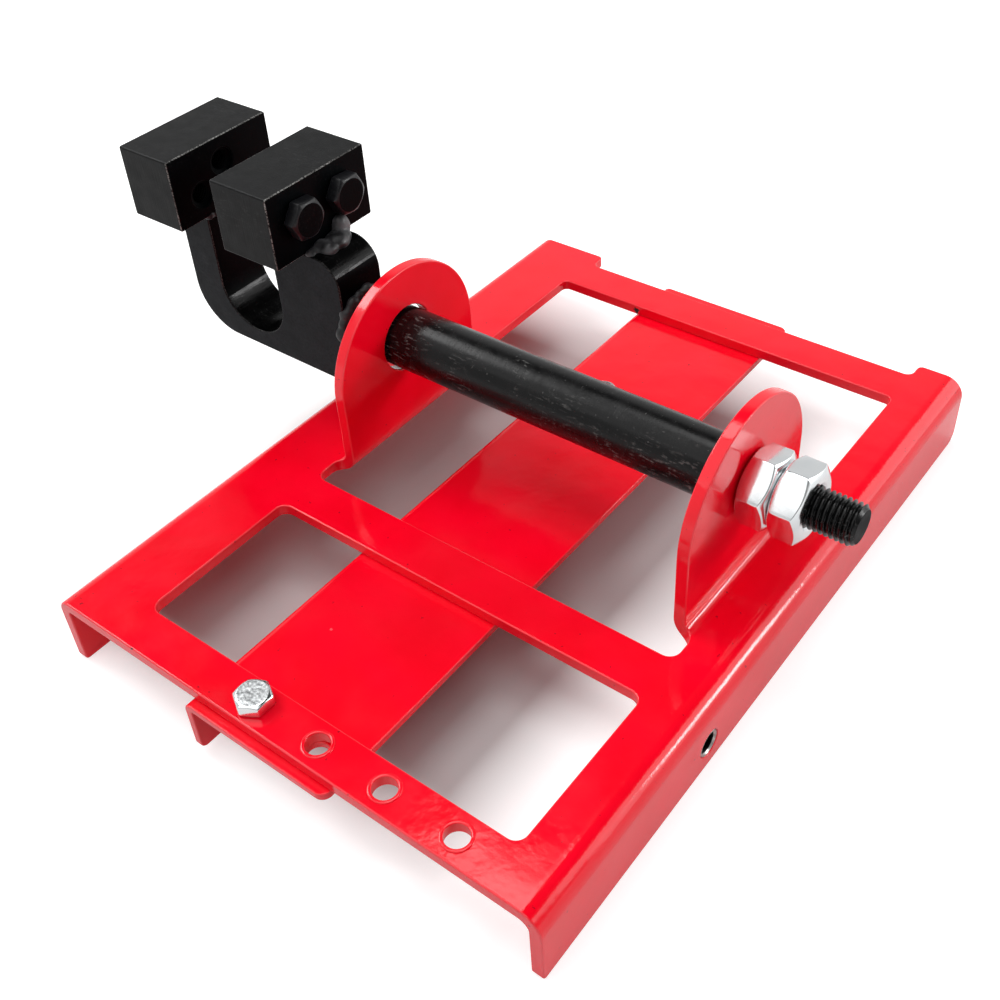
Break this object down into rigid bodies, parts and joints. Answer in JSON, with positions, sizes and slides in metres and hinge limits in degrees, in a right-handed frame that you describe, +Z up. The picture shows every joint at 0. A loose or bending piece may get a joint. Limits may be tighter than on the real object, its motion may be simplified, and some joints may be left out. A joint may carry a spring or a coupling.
{
  "type": "chainsaw mill",
  "caption": "Small open-frame chainsaw mill: folded red carriage with two ears, sliding-guide plate below, and a black bar clamp on a swivelling shaft.",
  "frame": {"origin": "Bottom centre of the whole assembly's box, on the plane that the frame's two flanges stand on.", "axes": "+X across the frame, from the saw clamp to the threaded end of the shaft; +Y from the front bar, with its row of holes, to the back bar; +Z up."},
  "size_m": [0.3314, 0.318, 0.1393],
  "materials": {
    "red_paint": "gloss",
    "zinc_plate": "bright satin",
    "black_oxide": "satin black",
    "black_weld": "lumpy satin black",
    "bare_steel": "machined"
  },
  "bodies": {
    "carriage": {"frame": "red_paint", "side_thread_bush": "bare_steel", "guide_plate": "red_paint", "guide_bolt_front": "zinc_plate", "guide_washer_front": "zinc_plate", "guide_nut_front": "zinc_plate", "guide_bolt_rear": "zinc_plate", "guide_washer_rear": "zinc_plate", "guide_nut_rear": "zinc_plate"},
    "swivel": {"swivel_shaft": "black_oxide", "jam_nut_inner": "zinc_plate", "jam_nut_outer": "zinc_plate", "clamp_yoke": "black_oxide", "jaw_left": "black_oxide", "jaw_right": "black_oxide", "weld_shaft": "black_weld", "weld_jaw_left_outer": "black_weld", "weld_jaw_left_inner": "black_weld", "weld_jaw_right_inner": "black_weld", "weld_jaw_right_outer": "black_weld"},
    "front_bolt": {"clamp_bolt_front": "black_oxide"},
    "rear_bolt": {"clamp_bolt_rear": "black_oxide"}
  },
  "joints": [
    {"name": "clamp_swivel", "type": "hinge", "parent": "carriage", "child": "swivel", "pos_m": [0.06, 0.0067, 0.0742], "axis": [1, 0, 0], "range_deg": [-100, 100]},
    {"name": "front_bolt_travel", "type": "slide", "parent": "swivel", "child": "front_bolt", "axis": [1, 0, 0], "range_m": [0, 0.02]},
    {"name": "rear_bolt_travel", "type": "slide", "parent": "swivel", "child": "rear_bolt", "axis": [1, 0, 0], "range_m": [0, 0.02]}
  ]
}
